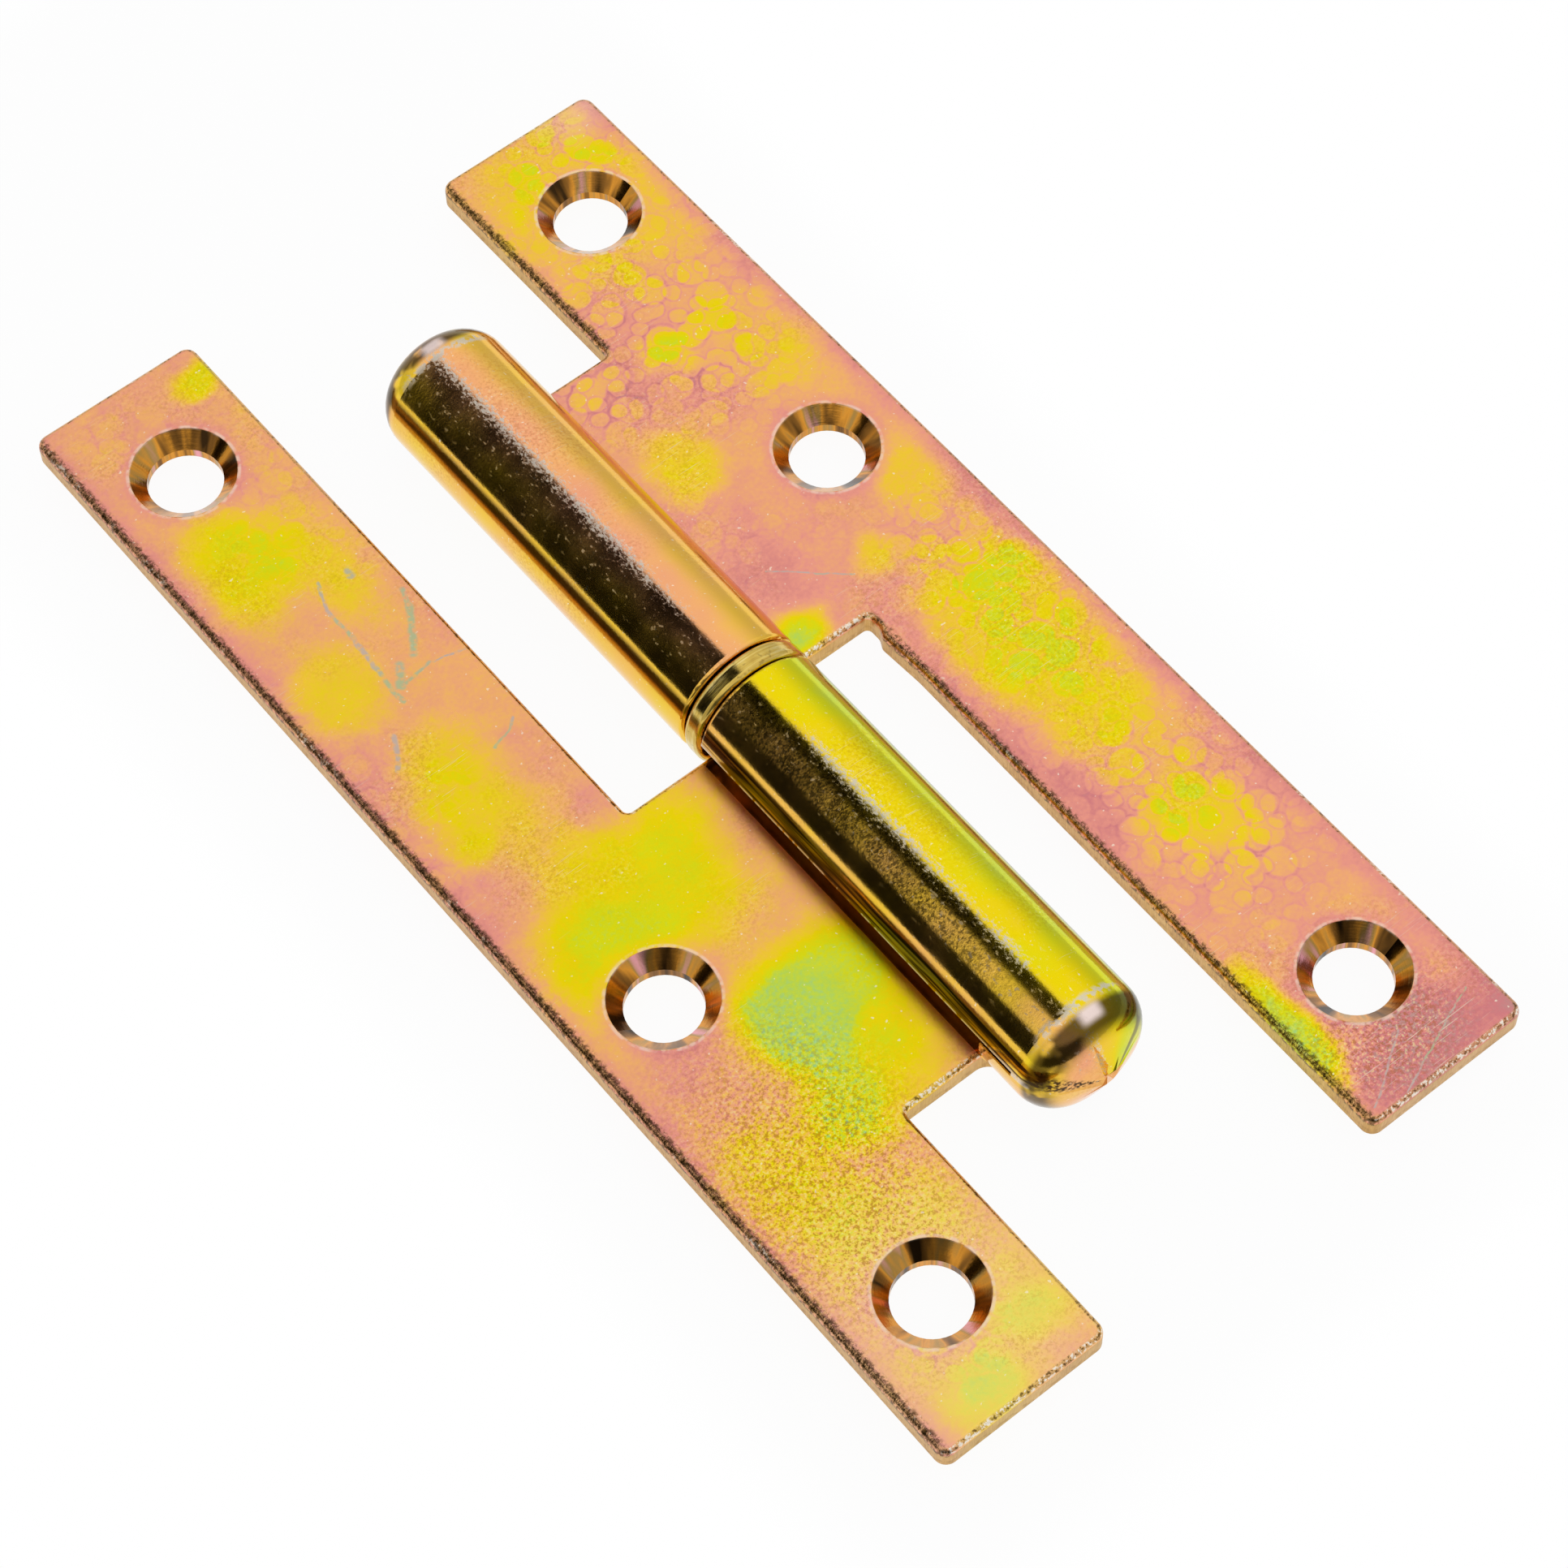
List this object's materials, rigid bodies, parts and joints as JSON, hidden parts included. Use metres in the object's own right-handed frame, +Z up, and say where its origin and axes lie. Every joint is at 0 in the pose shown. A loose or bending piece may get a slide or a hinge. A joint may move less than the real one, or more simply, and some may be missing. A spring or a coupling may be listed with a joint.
{
  "type": "lift off hinge",
  "caption": "Flat lift-off hinge: notched sheet-steel leaves with countersunk screw holes and rolled, dome-ended knuckles; the lift-off leaf swings on the pin and slides off its free end.",
  "frame": {"origin": "under the pin axis at the middle of the joint, level with the undersides of the knuckles, with the hinge open flat", "axes": "+Y along the pin towards its free end, the way the leaf lifts off; +X towards the lift-off leaf; +Z up, out of the countersunk faces"},
  "size_m": [0.0544, 0.11, 0.011],
  "materials": {
    "plated_leaf": "yellow-chromated zinc plate: glossy, iridescent pink and gold, scuffed",
    "pin_steel": "bright drawn steel",
    "washer_brass": "turned, bright"
  },
  "bodies": {
    "fixed_half": {"fixed_leaf": "plated_leaf", "hinge_pin": "pin_steel"},
    "washer": {"bearing_washer": "washer_brass"},
    "lift_off_half": {"lift_off_leaf": "plated_leaf"}
  },
  "joints": [
    {"name": "leaf_swing", "type": "hinge", "parent": "fixed_half", "child": "washer", "pos_m": [0, 0, 0.0055], "axis": [0, -1, 0], "range_deg": [-145, 185]},
    {"name": "leaf_lift", "type": "slide", "parent": "washer", "child": "lift_off_half", "axis": [0, 1, 0], "range_m": [0, 0.032]}
  ]
}
